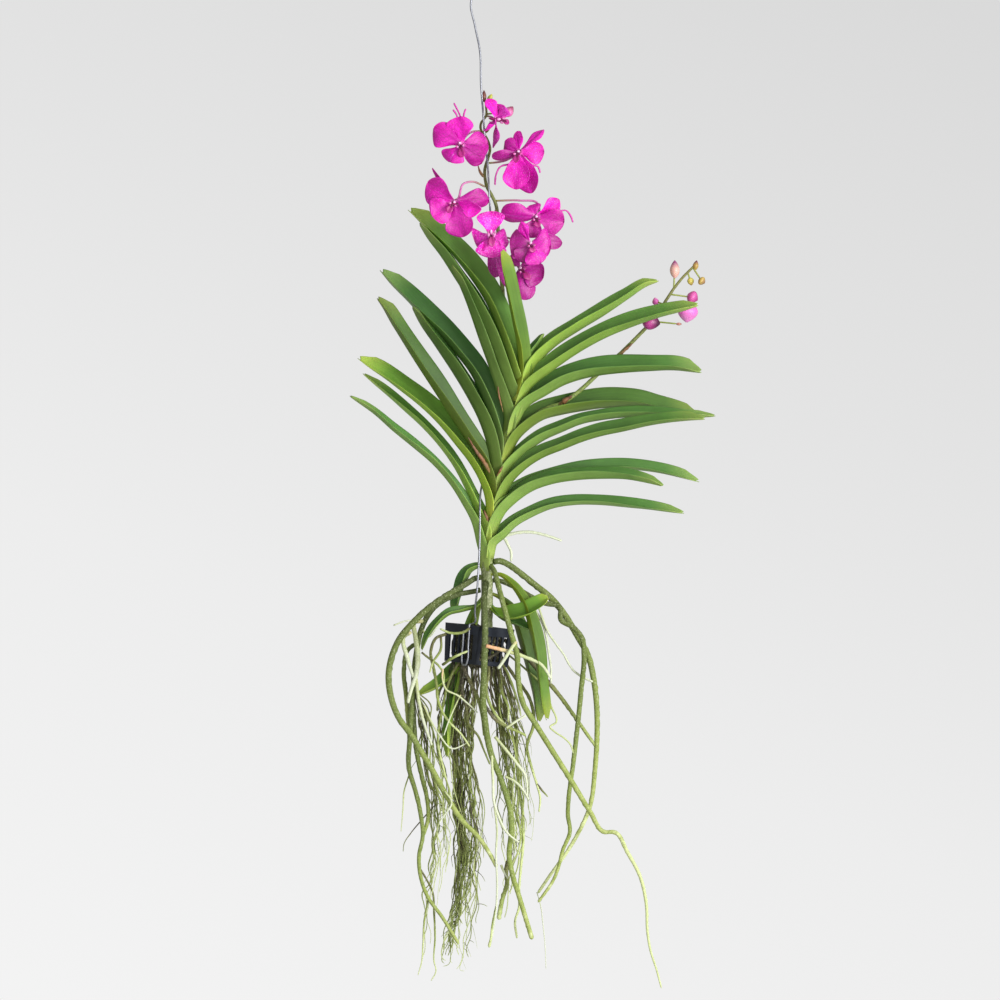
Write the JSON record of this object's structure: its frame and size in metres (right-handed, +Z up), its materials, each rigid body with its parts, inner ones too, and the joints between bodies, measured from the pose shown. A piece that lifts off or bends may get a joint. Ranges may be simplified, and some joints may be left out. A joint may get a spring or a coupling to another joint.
{
  "type": "hanging vanda orchid",
  "caption": "Bare-rooted vanda orchid with strap leaves in two ranks, magenta blooms and long aerial roots, hanging in a small slotted basket from a bent wire with a hook.",
  "frame": {"origin": "middle of the wire at the crown of its hook, the highest point that a rail or nail carries; the plant hangs below it", "axes": "+Z up along the hanging plant, +X to the viewer's right, in the plane in which the two ranks of leaves spread, +Y away from the viewer"},
  "size_m": [0.4378, 0.118, 1.234],
  "materials": {
    "leaf": "smooth leathery strap leaves with a soft wax gloss, yellow-green at the base",
    "bloom": "velvety magenta petals with a darker net of veins and paler specks",
    "root": "matt silvery olive-green root skin, finely speckled, with pale tips",
    "fine_root": "matt grey-brown to grey-green fine roots, some pale",
    "basket_plastic": "moulded black plastic with a blue cast, lightly worn and dusty",
    "hanger_wire": "galvanised steel wire, grey and slightly dull"
  },
  "bodies": {
    "root": {"leafy_shoot": "leaf", "bloom_1": "bloom", "bloom_2": "bloom", "bloom_3": "bloom", "bloom_4": "bloom", "bloom_5": "bloom", "bloom_6": "bloom", "bloom_7": "bloom", "bloom_8": "bloom", "root_right_outer": "root", "root_right_inner": "root", "root_front": "root", "root_long": "root", "root_left_outer": "root", "root_left_forked": "root", "fine_root_bunch": "fine_root", "slotted_basket": "basket_plastic", "wire_hook": "hanger_wire", "wire_hanger": "hanger_wire"}
  },
  "joints": []
}
